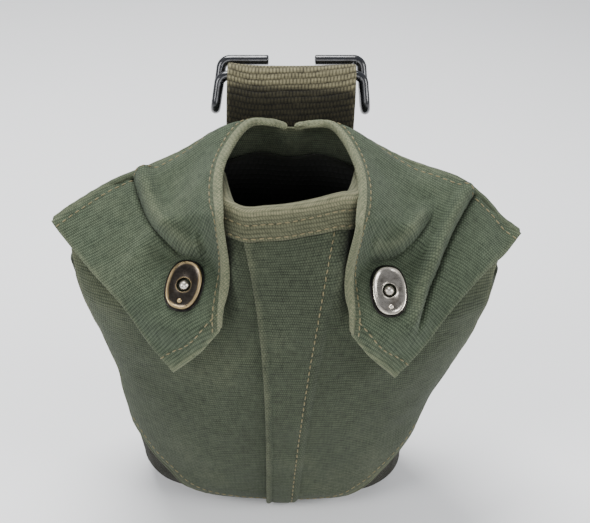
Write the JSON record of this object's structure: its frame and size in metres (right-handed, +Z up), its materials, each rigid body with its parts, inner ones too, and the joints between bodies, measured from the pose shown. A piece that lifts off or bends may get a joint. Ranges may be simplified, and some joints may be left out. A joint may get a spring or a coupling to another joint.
{
  "type": "canteen cover",
  "caption": "Open canvas pouch that carries a canteen, with snap-down shoulder flaps and a webbing hanger on a wire belt hook.",
  "frame": {"origin": "on the flat bottom, straight below the middle of the neck", "axes": "+Z up, the front with the snaps faces -Y, +X to the viewer's right"},
  "size_m": [0.182, 0.0858, 0.183],
  "materials": {
    "canvas_olive": "worn cotton canvas",
    "canvas_sage": "worn cotton canvas",
    "canvas_dark": "darker cotton canvas",
    "tape_pale": "faded cotton tape",
    "felt": "wool felt",
    "web": "ribbed cotton webbing",
    "black_iron": "glossy black paint",
    "bronze": "blackened, worn to brass",
    "nickel": "nickel plate"
  },
  "bodies": {
    "pouch": {"front_panel_left": "canvas_olive", "front_panel_right": "canvas_olive", "lip_binding": "tape_pale", "gusset_band": "canvas_dark", "back_panel": "canvas_olive", "lining_front": "felt", "lining_back": "felt", "hanger_tail": "web", "stud_left": "nickel", "stud_washer_left": "bronze", "stud_right": "nickel", "stud_washer_right": "bronze"},
    "left_flap": {"flap_left": "canvas_sage", "flap_binding_left": "tape_pale", "socket_cap_left": "bronze", "socket_spring_left": "nickel", "socket_back_left": "bronze"},
    "right_flap": {"flap_right": "canvas_sage", "flap_binding_right": "tape_pale", "socket_cap_right": "nickel", "socket_spring_right": "nickel", "socket_back_right": "bronze"},
    "hanger": {"hanger_loop": "web"},
    "hook": {"belt_hook": "black_iron"}
  },
  "joints": [
    {"name": "left_flap_hinge", "type": "hinge", "parent": "pouch", "child": "left_flap", "pos_m": [-0.0247, 0.015, 0.1643], "axis": [-0.8785, -0.2733, -0.3918], "range_deg": [0, 110]},
    {"name": "right_flap_hinge", "type": "hinge", "parent": "pouch", "child": "right_flap", "pos_m": [0.0247, 0.015, 0.1643], "axis": [-0.8785, 0.2733, 0.3918], "range_deg": [0, 110]},
    {"name": "hanger_bend", "type": "hinge", "parent": "pouch", "child": "hanger", "pos_m": [0, 0.0218, 0.156], "axis": [1, 0, 0], "range_deg": [-90, 10]},
    {"name": "hook_swivel", "type": "hinge", "parent": "hanger", "child": "hook", "pos_m": [0, 0.03, 0.1776], "axis": [1, 0, 0], "range_deg": [-30, 90]}
  ]
}
